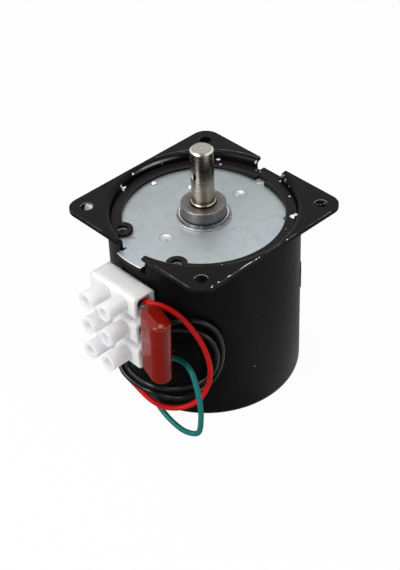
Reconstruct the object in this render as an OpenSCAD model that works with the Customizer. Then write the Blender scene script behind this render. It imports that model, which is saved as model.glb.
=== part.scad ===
// Small AC gear motor: a square mounting flange on a drawn steel can, a spur gear train
// under a zinc plate, a permanent-magnet motor below it, and a three-pole terminal block
// with a film capacitor on the outside of the can.
// The origin is the centre of the flange's top face, on the axis of the output shaft.

/* [Flange and can] */
// Width of the square flange
flange_w = 60; // [59.8:0.1:62]
// Thickness of the flange sheet
flange_t = 1.1; // [0.9:0.1:1.3]
// Radius of the flange's corners
flange_corner_r = 5; // [3:0.5:7]
// Distance of each flange hole from the flange's two edges
flange_hole_inset = 5.25; // [5:0.05:5.5]
// Diameter of a flange hole
flange_hole_d = 3.7; // [3:0.1:4.2]
// Outer diameter of the burred collar under a flange hole
collar_d = 5.8; // [5:0.1:6.2]
// Depth of that collar below the top of the flange
collar_h = 2.8; // [2:0.1:4]
// How far the can's wall stands inside the flange's edge
can_inset = 0.75; // [0.6:0.05:0.9]
// Wall of the can
can_wall = 1.1; // [0.9:0.1:1.2]
// Height from the underside of the can to the top of the flange
can_h = 59.4; // [58:0.2:64]
// Outer radius round the foot of the can
can_foot_r = 2; // [1.2:0.2:3]
// Draw radius at the mouth of the can
mouth_r = 1.5; // [1:0.1:1.7]
// Width of the two notches in the mouth of the can
notch_w = 10.8; // [10.6:0.2:14]
// Depth of the two notches below the top of the flange
notch_h = 6.9; // [5.6:0.1:8]
// Height of a raised pad on the can wall
pad_h = 7.2; // [4:0.2:10]
// Width of a raised pad on the can wall
pad_w = 4; // [2:0.2:6]
// How far a raised pad stands off the can wall
pad_proud = 0.25; // [0.15:0.05:0.4]
// Width of a lug pressed in over the clamp ring
lug_w = 2.4; // [2:0.1:4]
// How far such a lug reaches over the clamp ring
lug_reach = 0.9; // [0.5:0.1:1]

/* [Plates and clamp ring] */
// Depth of the clamp ring's top below the flange
ring_drop = 2.7; // [2.4:0.1:3]
// Thickness of the clamp ring
ring_t = 1.1; // [0.8:0.1:1.4]
// Width of the clamp ring's band
ring_w = 3.35; // [3:0.05:3.6]
// How far the band grows inward opposite the terminal block
ring_land = 1; // [0.5:0.1:1.2]
// Outer diameter of an ear on the clamp ring
ear_d = 6.5; // [6:0.1:7]
// Diameter of the clearance hole in an ear
ear_hole_d = 3.2; // [3.1:0.1:3.6]
// Angle of each ear either side of the terminal block
ear_angle = 27.9; // [26:0.5:32]
// Thickness of the top plate
plate_t = 1.5; // [1.3:0.1:1.8]
// Diameter of a dimple in the top plate
dimple_d = 4.4; // [3:0.2:5]
// Distance of a dimple from the shaft
dimple_r = 15.4; // [14.5:0.1:17]
// Depth of a dimple
dimple_h = 0.6; // [0.3:0.05:0.8]
// Width of the plate's tab in the notch
tab_w = 10.2; // [8:0.2:10.2]
// Thickness of the plate between the gears and the motor
mid_plate_t = 1.2; // [1:0.1:1.5]
// Distance between the top plate and the mid plate
gear_room = 15.7; // [15.5:0.1:16.5]
// Diameter of a spacer pillar
pillar_d = 4; // [3.4:0.1:4.6]
// Diameter of the two tapped pillars under the ears
tapped_pillar_d = 5.2; // [4.8:0.1:5.4]
// Tapping diameter of the M3 thread in those pillars
tap_d = 2.5; // [2.3:0.1:2.7]
// Depth of the M3 thread
tap_h = 8; // [5:0.5:10]

/* [Output shaft and bush] */
// Diameter of the output shaft
shaft_d = 7; // [6:0.1:7.2]
// Height of the shaft's end above the flange
shaft_h = 20.4; // [16:0.2:28]
// Width of the flat chamfer at the end of the shaft
shaft_chamfer = 0.6; // [0.3:0.05:0.8]
// Diameter of the shaft's journal in the bush
journal_d = 7.7; // [7.4:0.1:8]
// Height of the journal's shoulder above the bush
shoulder_rise = 0.9; // [0.2:0.1:1.2]
// Diameter of the cross hole in the shaft
cross_hole_d = 2.5; // [2:0.1:3.2]
// Height of the cross hole above the flange
cross_hole_h = 12; // [8:0.2:13]
// Turn of the cross hole's mouth about the shaft
cross_hole_turn = 258; // [0:1:359]
// Outer diameter of the bush
bush_d = 13.8; // [12.6:0.1:14]
// Height of the bush above the flange
bush_h = 1.4; // [0.8:0.1:1.6]
// Diameter of the bush's foot on the plate
bush_foot_d = 16.8; // [16.2:0.1:18]
// Diameter of the step above that foot
bush_step_d = 15.2; // [14.6:0.1:15.8]
// Length of the bush under the plate
bush_tail = 4.1; // [3.6:0.1:4.2]

/* [Gear train] */
// Teeth on each pinion
pinion_teeth = 14; // [13:1:15]
// Teeth on the two large wheels
wheel_teeth = 35; // [33:1:36]
// Teeth on the output gear
output_teeth = 28; // [26:1:30]
// Distance from the shaft to the first gear's axle
first_centres = 12.6; // [12.4:0.1:12.8]
// Distance between the first and second gears' axles
second_centres = 12.05; // [11.8:0.05:12.1]
// Place of the second gear's axle, across
second_x = -13.3; // [-13.4:0.1:-13.2]
// Place of the second gear's axle, front to back
second_y = 7.2; // [7.1:0.1:7.4]
// Thickness of the large wheels
wheel_t = 2.4; // [2:0.1:2.5]
// Thickness of the output gear
output_gear_t = 4.2; // [3.6:0.1:4.3]
// Diameter of the gears' axles
axle_d = 1.8; // [1.5:0.1:2]

/* [Rotor and stator] */
// Diameter of the rotor's axle
rotor_axle_d = 2; // [1.6:0.1:2.4]
// Outer diameter of the rotor magnet
magnet_d = 23; // [20:0.5:23.5]
// Radial thickness of the rotor magnet
magnet_t = 3; // [2:0.25:4]
// Air gap between the magnet and the poles
air_gap = 0.5; // [0.4:0.1:0.8]
// Poles on each pole plate
pole_count = 8; // [6:1:9]
// Thickness of the pole plates
pole_t = 1.2; // [1:0.1:1.4]
// Thickness of a bobbin's walls
bobbin_wall = 0.9; // [0.7:0.1:1.2]
// Gap between a bobbin's flanges and the can
bobbin_gap = 1.85; // [1.8:0.05:3]
// How far the winding stays inside the bobbin's flanges
winding_drop = 1.3; // [1:0.1:4]
// Thickness of the base plate
base_plate_t = 1.1; // [0.9:0.1:1.4]

/* [Terminal block] */
// Length of the block across the can
block_w = 19.1; // [18:0.2:20]
// Depth of the block off the can
block_d = 7.8; // [7.6:0.1:8.4]
// Height of one pole of the block
pole_h = 7.2; // [6.8:0.1:7.8]
// Distance between poles
pole_pitch = 9.6; // [9:0.1:10]
// Depth of the block's top below the flange
block_drop = 9.7; // [9:0.1:10.4]
// Offset of the block from the shaft's axis
block_x = -0.2; // [-0.4:0.1:0.2]
// Outer diameter of a screw turret
turret_d = 5.5; // [5:0.1:6]
// Length of a screw turret
turret_h = 7.1; // [6:0.1:8]
// Distance between the two columns of turrets
turret_pitch = 7.8; // [7.2:0.1:8.4]
// Outer diameter of a brass sleeve
sleeve_d = 5.2; // [5:0.1:5.4]
// Bore of a brass sleeve, where the wires go in
sleeve_bore = 3.4; // [3.3:0.1:3.6]
// Length of a brass sleeve
sleeve_l = 15; // [14:0.2:16]
// Diameter of the terminal screws
screw_d = 2.5; // [2.2:0.1:2.7]
// Diameter of a terminal screw's head
screw_head_d = 3.1; // [2.8:0.1:3.2]
// Length of a terminal screw's shank
screw_l = 5.2; // [4.6:0.1:5.6]

/* [Capacitor] */
// Thickness of the capacitor
cap_t = 6.5; // [5.5:0.1:6.6]
// Width of the capacitor
cap_w = 11.9; // [10:0.1:12.4]
// Height of the capacitor
cap_h = 22.2; // [21:0.2:24]
// Edge radius of the capacitor
cap_edge_r = 1.2; // [0.6:0.1:2]
// Turn of the capacitor about its own axis
cap_turn = 14.8; // [13:0.2:17]
// Diameter of the capacitor's leads
cap_lead_d = 0.7; // [0.5:0.1:0.8]

/* [Leads] */
// Outer diameter of an insulated lead
wire_d = 1.7; // [1.5:0.05:1.75]
// Diameter of a lead's bare end
strand_d = 0.8; // [0.5:0.1:0.9]
// Gap between the terminal block and the grommet's rim
grommet_gap = 0.7; // [0.5:0.1:0.9]
// Outer diameter of the grommet's rim
grommet_d = 8.8; // [8:0.2:9]

/* [Hidden] */

// Smoothness of the large and the small round pieces
$fn = 96;
fine = 48;

// Colours, as the photograph shows them
black_paint = "#222325";
zinc = "#a6b0b2";
sintered = "#6c6a6e";
steel = "#a79f94";
brass = "#b59a55";
nylon = "#e9e6dc";
white_plastic = "#eceaf2";
copper = "#b8662e";
ferrite = "#3a3836";
bright_steel = "#c9cbcc";
cap_red = "#8c1f14";

// Radii of the can
can_r = flange_w / 2 - can_inset;
can_ir = can_r - can_wall;
mouth_top_r = can_ir + mouth_r;
neck_r = can_r + 0.6;
can_floor = -can_h + can_wall;
foot_ir = max(can_foot_r - can_wall, 0.3);

// Gap round the discs that drop into the can
drop_gap = 0.2;
disc_r = can_ir - drop_gap;

// Gaps of the running fits
run_gap = 0.05;
end_gap = 0.3;

// Heights of the clamp ring and the plates
ring_top = -ring_drop;
plate_top = ring_top - ring_t;
plate_under = plate_top - plate_t;
mid_top = plate_under - gear_room;
mid_under = mid_top - mid_plate_t;

// Angles of the lugs over the ring and of the pads on the can wall
lug_angles = [39, 126.6, 197.4];
pad_angles = [43, 133, 223];
pad_z = -22.6;
lug_t = 0.7;

// Flange holes
flange_hole_at = flange_w / 2 - flange_hole_inset;

// Ears of the clamp ring, and the pillars
ring_ir = disc_r - ring_w;
ear_r = ring_ir + 0.6;
ear_at = [for (side = [-1, 1]) [side * ear_r * sin(ear_angle), -ear_r * cos(ear_angle)]];
left_pillar = (disc_r - 4.95) * [cos(178.3), sin(178.3)];
back_pillar = (disc_r - 2.9) * [cos(40), sin(40)];
staked_d = 1.9;
stub_d = 2.4;
tapped_stub_d = 3.4;
head_proud = 0.15;

// Clamp ring opposite the terminal block: its land, the notch in it, and its tab
land_r = ring_ir + 5;
ring_notch_w = 3.8;
ring_notch_x = 0.3;
ring_notch_y = ring_ir + 0.6;
ring_tab_w = 7.7;
ring_tab_x = 0.35;
ring_tab_y = can_r + 0.25;

// Front of the plate's tab, and the relief cuts at its root
tab_r = can_r + 1.45;
relief_w = 0.9;
relief_h = 1.6;

// Shaft and bush
shaft_r = shaft_d / 2;
journal_r = journal_d / 2;
shoulder_z = bush_h + shoulder_rise;
shoulder_chamfer = 0.3;
shaft_chamfer_h = shaft_chamfer;
// The seam of the shaft's wall, turned well away from the cross hole
shaft_seam_turn = cross_hole_turn - 216;
bush_r = bush_d / 2;
bush_bore_r = journal_r + run_gap;
bush_chamfer = 0.3;
bush_bore_chamfer = 0.15;
bush_step_z = plate_top + 1.4;
bush_foot_z = plate_top + 0.7;
bush_tail_r = bush_r - 0.25;
bush_end = plate_under - bush_tail;
washer_t = 0.4;
output_gear_top = bush_end - 0.2 - washer_t;
output_gear_end = output_gear_top - output_gear_t;
gear_seat_r = 3;
shaft_end = output_gear_end - 1.4;

// Gear train, worked out from the axles' places and the numbers of teeth
second_at = [second_x, second_y];
output_centres = norm(second_at);
first_turn = atan2(second_y, second_x) - acos((pow(first_centres, 2) + pow(output_centres, 2)
    - pow(second_centres, 2)) / (2 * first_centres * output_centres));
first_at = first_centres * [cos(first_turn), sin(first_turn)];
first_module = 2 * first_centres / (pinion_teeth + wheel_teeth);
second_module = 2 * second_centres / (pinion_teeth + wheel_teeth);
output_module = 2 * output_centres / (pinion_teeth + output_teeth);
to_second = second_at - first_at;
second_turn = atan2(to_second[1], to_second[0]);
output_turn = atan2(-second_y, -second_x);
pressure_angle = 25;
addendum = 0.9;
dedendum = 1.2;
tooth_gap = 0.07;
first_wheel_z = mid_top + 0.7;
first_wheel_end = first_wheel_z + wheel_t;
second_wheel_z = first_wheel_end + 0.7;
second_wheel_end = second_wheel_z + wheel_t;
first_pinion_end = second_wheel_end + 0.3;
second_pinion_end = output_gear_top + 0.2;
axle_r = axle_d / 2;
hub_r = 1.5;
boss_r = 2.2;

// Rotor, from the base plate up to the pinion
rotor_axle_r = rotor_axle_d / 2;
rotor_bore_r = rotor_axle_r + run_gap;
base_top = can_floor + base_plate_t;
base_boss_r = 3.5;
base_boss_top = base_top + 1.5;
rotor_washer_top = base_boss_top + 0.4;
hub_end = rotor_washer_top + 0.2;
hub_top = mid_under - 0.7;
magnet_r = magnet_d / 2;
magnet_ir = magnet_r - magnet_t;
magnet_end = hub_end + 1.2;
magnet_top = hub_top - 2.1;
spigot_r = 2;
spigot_h = 2.4;
clip_z = first_wheel_end + 0.15;
clip_t = 0.4;
clip_r = 2.2;
clip_groove_r = rotor_axle_r - 0.25;
rotor_axle_top = shaft_end + 2.2;

// Stator: two alike stacks between the base plate and the mid plate
stack_h = (mid_under - base_top) / 2;
bobbin_h = stack_h - 2 * pole_t;
claw_ir = magnet_r + air_gap;
claw_r = claw_ir + 1;
claw_l = bobbin_h - 1.5;
claw_turn = 360 / pole_count;
bobbin_r = can_ir - bobbin_gap;
bobbin_ir = claw_r + 0.3;
winding_ir = bobbin_ir + bobbin_wall;
winding_r = bobbin_r - winding_drop;

// Terminal block, with its back just off the can
block_back = -can_r - 0.1;
block_front = block_back - block_d;
web_front = block_front + 2.1;
turret_end = block_front - turret_h;
pole_z = [for (i = [0:2]) -block_drop - pole_h / 2 - i * pole_pitch];
web_z = [for (i = [0:1]) (pole_z[i] + pole_z[i + 1]) / 2];
turret_x = [for (side = [-1, 1]) block_x + side * turret_pitch / 2];
sleeve_y = block_back - block_d / 2;
turret_bore_d = screw_head_d + 0.2;
sleeve_hole_r = sleeve_d / 2 + 0.02;
pocket_w = 5.2;
pocket_h = 5.4;
block_end_x = block_x + block_w / 2;
sleeve_end_x = block_x + sleeve_l / 2;
pocket_l = block_end_x - sleeve_end_x;

// Wires in the block lie at the back of the sleeves
strand_y = sleeve_y + 0.8;
strand_end_x = turret_x[1] - 1.5;
screw_tip = strand_y - strand_d / 2 - 0.05;
screw_head_y = screw_tip - screw_l;
screw_head_h = 1.6;

// Half the width of the pad behind the block
pad_half_w = 6;

// Capacitor beside the block
cap_at = [block_end_x + 7.45, block_front + 1.15];
cap_top = -11.25;
cap_lean = [-0.9, 1.4, 0];
cap_lead_y = sleeve_y - 0.35;
cap_lead_z = [pole_z[0] - 0.5, pole_z[2] + 0.6];
cap_lead_x = cap_at[0] - cap_w / 2 * cos(cap_turn) + 1.1;

// Grommet and the leads in it
grommet_drop = pole_h / 2 - pole_z[2] + grommet_gap + grommet_d / 2;
grommet_x = -1.5;
grommet_face = -can_r - 1.35;
grommet_neck_r = 3.4;
lead_hole_r = grommet_neck_r + 0.1;
lead_half = 1.1;
board_t = 0.8;
board_w = 8;
board_h = 6;
board_face = -(bobbin_r + 0.1 + board_t);

// Routes of the leads' free stretches, from the grommet to the block
red_route = [[-2.6, -30.6, -42.3], [-2.4, -32.6, -42.7], [-1.7, -34.1, -44.2], [0, -34.7, -46.1],
    [2.9, -34.5, -47.5], [6.5, -34.4, -49], [10.9, -34.4, -49.8], [14.9, -32.6, -51.2],
    [19.1, -29.1, -50.8], [22.6, -25.9, -47.6], [24.4, -23.5, -42.3], [24.9, -22.7, -36.2],
    [24.3, -23.2, -30.3], [23, -24.4, -24.9], [21.1, -25.8, -20.4], [19, -27.3, -16.8],
    [16.6, -28.8, -14.3], [14.1, -30.3, -13], [11.8, -31.6, -12.6], [9.6, -32.4, -12.6],
    [7.5, -32.4, -12.6]];
green_route = [[-0.4, -30.6, -42.3], [-0.1, -32.5, -42.6], [1.1, -33.9, -43.7],
    [3.4, -34.3, -44.6], [5.9, -33.6, -45.6], [7.8, -32.6, -47.6], [9.2, -32.1, -50.8],
    [12.2, -31.9, -54.4], [17.2, -32.1, -56.1], [22.9, -32.1, -56.3], [28, -31.5, -53.8],
    [29, -31, -48], [28.2, -30.4, -42.3], [26.5, -29.9, -37.2], [24, -29.2, -33.6],
    [20.2, -28.4, -32.6], [16.6, -28.5, -32.9], [13.8, -29.9, -33.1], [11.7, -31.4, -33.1],
    [9.5, -32.4, -33.1], [7.5, -32.4, -33.1]];
outer_route = [[-2.6, -30.6, -40.1], [-2.6, -32.8, -40.2], [-2, -34.9, -41.2],
    [-0.2, -36, -42.9], [2.7, -36.3, -44.1], [6.7, -36.2, -44.6], [11.4, -35.6, -44.6],
    [15.2, -33.2, -45.8], [17.8, -28.6, -48], [20.5, -23.6, -47], [23.2, -19.9, -42.3],
    [24.7, -18.1, -36.3], [25, -17.7, -30], [24.2, -18.7, -24.3], [22, -21.2, -20.5],
    [18.8, -24.3, -19.2], [16, -27.1, -19.6], [13.8, -29.5, -20.5], [11.8, -31.4, -21.6],
    [9.7, -32.4, -22], [7.5, -32.4, -22]];
inner_route = [[-0.4, -30.6, -40.1], [-0.3, -32.4, -40.1], [0.4, -34.2, -40.5],
    [2.3, -35.5, -41.1], [5, -35.8, -41.8], [8.2, -35.6, -42.3], [12.1, -34.9, -42.5],
    [15.4, -32.4, -43.2], [17.6, -28.3, -44.3], [20.6, -24.3, -43.4], [23.4, -21.4, -40.1],
    [24.8, -20, -35.1], [24.7, -19.9, -29.9], [23.1, -21, -25.8], [20.1, -23.3, -23.5],
    [17.1, -25.8, -22.9], [14.8, -28.1, -23], [13, -30.3, -23.5], [11.2, -31.8, -23.8],
    [9.3, -32.4, -23.8], [7.5, -32.4, -23.8]];
strand_z = [red_route[20][2], outer_route[20][2], inner_route[20][2], green_route[20][2]];

// A point at radius r and angle a
function polar(r, a) = [r * cos(a), r * sin(a)];

// Points of an arc about c, from angle a to angle b
function arc(c, r, a, b, n = 8) = [for (i = [0:n]) c + polar(r, a + (b - a) * i / n)];

// Involute of the pressure angle at radius r on a gear of base radius base_r
function inv(base_r, r) = let(p = acos(min(base_r / r, 1))) tan(p) * 180 / PI - p;

// One tooth of an involute gear, from its root on one side to its root on the other
function tooth(teeth, size, centre) =
    let(pitch_r = size * teeth / 2,
        base_r = pitch_r * cos(pressure_angle),
        tip_r = pitch_r + addendum * size,
        root_r = pitch_r - dedendum * size,
        half = 90 / teeth - tooth_gap / 2 / pitch_r * 180 / PI + inv(base_r, pitch_r),
        start_r = max(base_r, root_r),
        steps = [0:3],
        radii = [for (i = steps) start_r + (tip_r - start_r) * i / 3])
    concat([polar(root_r, centre - half)],
        [for (i = steps) polar(radii[i], centre - half + inv(base_r, radii[i]))],
        [for (i = steps) polar(radii[3 - i], centre + half - inv(base_r, radii[3 - i]))],
        [polar(root_r, centre + half)]);

// A spur gear with a tooth centred at angle turn
module gear(teeth, size, h, turn) {
    linear_extrude(h)
        polygon([for (i = [0:teeth - 1]) each tooth(teeth, size, turn + i * 360 / teeth)]);
}

// A cylinder from height z0 to height z1
module post(r, z0, z1) {
    translate([0, 0, z0])
        cylinder(r = r, h = z1 - z0, $fn = fine);
}

// A cylinder along Y, from y0 to y1, at x and z
module post_y(r, x, z, y0, y1) {
    translate([x, y0, z])
        rotate([-90, 0, 0])
            cylinder(r = r, h = y1 - y0, $fn = fine);
}

// A cylinder along X, from x0 to x1, at y and z
module post_x(r, y, z, x0, x1) {
    translate([x0, y, z])
        rotate([0, 90, 0])
            cylinder(r = r, h = x1 - x0, $fn = fine);
}

// A rectangle with round corners
module round_rect(w, h, r) {
    square([w - 2 * r, h], center = true);
    square([w, h - 2 * r], center = true);
    for (sx = [-1, 1], sy = [-1, 1])
        translate([sx * (w / 2 - r), sy * (h / 2 - r)])
            circle(r, $fn = 32);
}

// A bar along X with round corners, from x0 to x1, centred at y and z
module round_bar(w, h, r, y, z, x0, x1) {
    translate([x0, y, z])
        rotate([90, 0, 90])
            linear_extrude(x1 - x0)
                round_rect(w, h, r);
}

// Unit vector along v
function unit(v) = v / norm(v);

// Direction of a route at its point i
function heading(route, i) =
    unit(route[min(i + 1, len(route) - 1)] - route[max(i - 1, 0)]);

// A side vector that is carried along a route without twisting
function carried(route, i, side) =
    i == len(route) ? [] :
    let(h = heading(route, i), s = unit(side - (side * h) * h))
    concat([s], carried(route, i + 1, s));

// A tube of 8 sides that follows a route, square to it at each point
module lead(route, d = wire_d) {
    sides = 8;
    n = len(route);
    start = heading(route, 0);
    across = carried(route, 0, abs(start[0]) < 0.9 ? [1, 0, 0] : [0, 1, 0]);
    points = [for (i = [0:n - 1], k = [0:sides - 1])
        let(h = heading(route, i), a = k * 360 / sides)
        route[i] + d / 2 * (cos(a) * across[i] + sin(a) * cross(h, across[i]))];
    walls = [for (i = [0:n - 2], k = [0:sides - 1])
        let(a = i * sides + k, b = i * sides + (k + 1) % sides)
        each [[a, a + sides, b], [b, a + sides, b + sides]]];
    caps = [for (k = [1:sides - 2])
        each [[0, k, k + 1], [(n - 1) * sides, (n - 1) * sides + k + 1, (n - 1) * sides + k]]];
    polyhedron(points, concat(walls, caps));
}

// Drawn can with its flange, notches, pressed lugs and raised pads
module motor_can() {
    color(black_paint)
        difference() {
            union() {
                can_shell();
                can_flange();
                can_lugs();
                can_pads();
                at_flange_holes()
                    post(collar_d / 2, -collar_h, -flange_t / 2);
            }
            can_notches();
            at_flange_holes()
                post(flange_hole_d / 2, -collar_h - 1, 1);
            post_y(lead_hole_r, grommet_x, -grommet_drop, -can_r - 1, -can_ir + 1);
            post(rotor_axle_r, -can_h - 1, can_floor + 1);
        }
}

module at_flange_holes() {
    for (sx = [-1, 1], sy = [-1, 1])
        translate([sx * flange_hole_at, sy * flange_hole_at])
            children();
}

module can_shell() {
    foot = [can_r - can_foot_r, -can_h + can_foot_r];
    inner_foot = [can_ir - foot_ir, can_floor + foot_ir];
    mouth = [mouth_top_r, -mouth_r];
    rotate_extrude()
        polygon(concat([[0, -can_h]],
            arc(foot, can_foot_r, -90, 0),
            [[can_r, -flange_t - 0.6], [neck_r, -flange_t], [neck_r, 0]],
            arc(mouth, mouth_r, 90, 180),
            arc(inner_foot, foot_ir, 0, -90),
            [[0, can_floor]]));
}

module can_flange() {
    translate([0, 0, -flange_t])
        linear_extrude(flange_t)
            difference() {
                round_rect(flange_w, flange_w, flange_corner_r);
                circle(mouth_top_r);
            }
}

// Lugs that are pressed in from the wall over the clamp ring
module can_lugs() {
    for (a = lug_angles)
        intersection() {
            rotate(a)
                translate([can_ir - lug_reach, -lug_w / 2, ring_top + 0.05])
                    cube([lug_reach + 0.4, lug_w, lug_t]);
            post(can_ir + 0.3, ring_top, 0);
        }
}

module can_pads() {
    for (a = pad_angles)
        intersection() {
            rotate(a)
                translate([can_r - 1, -pad_w / 2, pad_z - pad_h])
                    cube([2, pad_w, pad_h]);
            difference() {
                translate([0, 0, pad_z - pad_h])
                    cylinder(r = can_r + pad_proud, h = pad_h);
                post(can_r - 0.5, pad_z - pad_h - 1, pad_z + 1);
            }
        }
}

module can_notches() {
    for (side = [-1, 1])
        translate([-notch_w / 2, side * (can_r + 1) - 4, -notch_h])
            cube([notch_w, 8, notch_h + 1]);
}

// Open black ring with an ear at each end, clamped under the lugs
module clamp_ring() {
    open = can_r * [sin(ear_angle), -cos(ear_angle)];
    color(black_paint)
        translate([0, 0, plate_top])
            linear_extrude(ring_t)
                difference() {
                    union() {
                        difference() {
                            circle(disc_r);
                            intersection() {
                                circle(ring_ir);
                                translate([0, ring_ir - ring_land - land_r])
                                    circle(land_r);
                            }
                            polygon([[0, 0], [-open[0], open[1]], [-open[0], 2 * open[1]],
                                [open[0], 2 * open[1]], open]);
                        }
                        intersection() {
                            circle(disc_r);
                            for (p = ear_at)
                                translate(p)
                                    circle(d = ear_d, $fn = fine);
                        }
                        translate([ring_tab_x - ring_tab_w / 2, disc_r - 1])
                            square([ring_tab_w, ring_tab_y - disc_r + 1]);
                    }
                    for (p = ear_at)
                        translate(p)
                            circle(d = ear_hole_d, $fn = fine);
                    translate([ring_notch_x - ring_notch_w / 2, ring_notch_y - 4])
                        square([ring_notch_w, 4]);
                }
}

// Zinc-plated top plate of the gearbox
module top_plate() {
    color(zinc)
        difference() {
            translate([0, 0, plate_under])
                linear_extrude(plate_t) {
                    circle(disc_r);
                    intersection() {
                        circle(tab_r);
                        translate([0, -tab_r])
                            round_rect(tab_w, 8, 1.5);
                    }
                }
            post(bush_tail_r, plate_under - 1, plate_top + 1);
            for (side = [-1, 1])
                translate([0, side * dimple_r, plate_top])
                    dimple();
            for (side = [-1, 1])
                translate([side * tab_w / 2 - relief_w / 2, -disc_r - 0.5, plate_under - 1])
                    cube([relief_w, relief_h, plate_t + 2]);
            for (p = ear_at)
                translate(p)
                    post(tap_d / 2, plate_under - 1, plate_top + 1);
            translate(left_pillar)
                post(staked_d / 2, plate_under - 1, plate_top + 1);
            translate(back_pillar)
                post(stub_d / 2, plate_under - 1, plate_top + 1);
            translate(second_at)
                post(axle_r, plate_under - 1, plate_top + 1);
            translate(first_at)
                post(axle_r, plate_under - 1, plate_under + plate_t * 0.6);
        }
}

// Bowl of a dimple, from its bottom up to the plate's top
module dimple() {
    half = dimple_d / 2;
    bowl_r = (half * half + dimple_h * dimple_h) / (2 * dimple_h);
    edge = asin(half / bowl_r);
    rotate_extrude($fn = fine)
        polygon(concat(
            [for (i = [0:5]) [0, bowl_r - dimple_h] + polar(bowl_r, -90 + edge * i / 5)],
            [[half, 1], [0, 1]]));
}

// Sintered bush, with a step and a foot on the plate
module shaft_bush() {
    color(sintered)
        rotate_extrude()
            polygon([[bush_bore_r, bush_end], [bush_tail_r, bush_end], [bush_tail_r, plate_top],
                [bush_foot_d / 2, plate_top], [bush_foot_d / 2, bush_foot_z],
                [bush_step_d / 2, bush_foot_z], [bush_step_d / 2, bush_step_z],
                [bush_r, bush_step_z], [bush_r, bush_h - bush_chamfer],
                [bush_r - bush_chamfer, bush_h], [bush_bore_r + bush_bore_chamfer, bush_h],
                [bush_bore_r, bush_h - bush_bore_chamfer]]);
}

module thrust_washer() {
    color(bright_steel)
        difference() {
            post(bush_tail_r - 0.6, output_gear_top, output_gear_top + washer_t);
            post(journal_r + run_gap, output_gear_top - 1, output_gear_top + 1);
        }
}

// Output shaft with its journal, gear seat, cross hole and pilot hole for the rotor's axle
module output_shaft() {
    color(steel)
        difference() {
            rotate([0, 0, shaft_seam_turn]) rotate_extrude()
                polygon([[0, shaft_end], [gear_seat_r - 0.4, shaft_end],
                    [gear_seat_r, shaft_end + 0.4], [gear_seat_r, output_gear_top],
                    [journal_r, output_gear_top], [journal_r, shoulder_z - shoulder_chamfer],
                    [journal_r - shoulder_chamfer, shoulder_z], [shaft_r, shoulder_z],
                    [shaft_r, shaft_h - shaft_chamfer_h], [shaft_r - shaft_chamfer, shaft_h],
                    [0, shaft_h]]);
            translate([0, 0, cross_hole_h])
                rotate([0, 90, cross_hole_turn])
                    translate([0, 0, -1])
                        cylinder(d = cross_hole_d, h = shaft_d, $fn = fine);
            post(rotor_bore_r, shaft_end - 1, rotor_axle_top + 0.8);
        }
}

module output_gear() {
    color(brass)
        difference() {
            translate([0, 0, output_gear_end])
                gear(output_teeth, output_module, output_gear_t,
                    output_turn + 180 + 180 / output_teeth);
            post(gear_seat_r, output_gear_end - 1, output_gear_top + 1);
        }
}

// Wheel and pinion in one piece, driven by the rotor's pinion
module first_gear() {
    color(nylon)
        translate(first_at)
            difference() {
                union() {
                    post(boss_r, mid_top + end_gap, first_wheel_z);
                    translate([0, 0, first_wheel_z])
                        gear(wheel_teeth, first_module, wheel_t,
                            first_turn + 180 + 180 / wheel_teeth);
                    translate([0, 0, first_wheel_end])
                        gear(pinion_teeth, second_module, first_pinion_end - first_wheel_end,
                            second_turn);
                    post(hub_r, first_pinion_end, plate_under - end_gap);
                }
                post(axle_r + run_gap, mid_top, plate_under);
            }
}

// Wheel and pinion in one piece, driving the output gear
module second_gear() {
    color(brass)
        translate(second_at)
            difference() {
                union() {
                    post(boss_r, mid_top + end_gap, second_wheel_z);
                    translate([0, 0, second_wheel_z])
                        gear(wheel_teeth, second_module, wheel_t,
                            second_turn + 180 + 180 / wheel_teeth);
                    translate([0, 0, second_wheel_end])
                        gear(pinion_teeth, output_module, second_pinion_end - second_wheel_end,
                            output_turn);
                    post(boss_r, second_pinion_end, plate_under - end_gap);
                }
                post(axle_r + run_gap, mid_top, plate_under);
            }
}

module first_axle() {
    color(bright_steel)
        translate(first_at)
            post(axle_r, mid_under, plate_under + plate_t * 0.6);
}

// The second axle is staked, so that its head shows on the plate
module second_axle() {
    color(bright_steel)
        translate(second_at) {
            post(axle_r, mid_under, plate_top);
            post(staked_d / 2, plate_top, plate_top + head_proud);
        }
}

// Two plain pillars staked at both ends, and two with M3 threads under the ears
module spacer_pillars() {
    color(bright_steel) {
        translate(left_pillar) {
            post(pillar_d / 2, mid_top, plate_under);
            post(staked_d / 2, plate_under, plate_top + head_proud);
            post(stub_d / 2, mid_under, mid_top);
        }
        translate(back_pillar) {
            post(pillar_d / 2, mid_top, plate_under);
            post(stub_d / 2, plate_under, plate_top);
            post(stub_d / 2, mid_under, mid_top);
        }
        for (p = ear_at)
            translate(p) {
                difference() {
                    post(tapped_pillar_d / 2, mid_top, plate_under);
                    post(tap_d / 2, plate_under - tap_h, plate_under + 1);
                }
                post(tapped_stub_d / 2, mid_under, mid_top);
            }
    }
}

module mid_plate() {
    color(zinc)
        difference() {
            post(disc_r, mid_under, mid_top);
            post(first_module * pinion_teeth / 2 + 1.1, mid_under - 1, mid_top + 1);
            for (p = [left_pillar, back_pillar])
                translate(p)
                    post(stub_d / 2, mid_under - 1, mid_top + 1);
            for (p = ear_at)
                translate(p)
                    post(tapped_stub_d / 2, mid_under - 1, mid_top + 1);
            for (p = [first_at, second_at])
                translate(p)
                    post(axle_r, mid_under - 1, mid_top + 1);
        }
}

// Fixed axle, from the can's floor up into the end of the output shaft
module rotor_axle() {
    color(bright_steel)
        difference() {
            post(rotor_axle_r, -can_h, rotor_axle_top);
            difference() {
                post(rotor_axle_r + 1, clip_z, clip_z + clip_t);
                post(clip_groove_r, clip_z - 1, clip_z + clip_t + 1);
            }
        }
}

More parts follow.
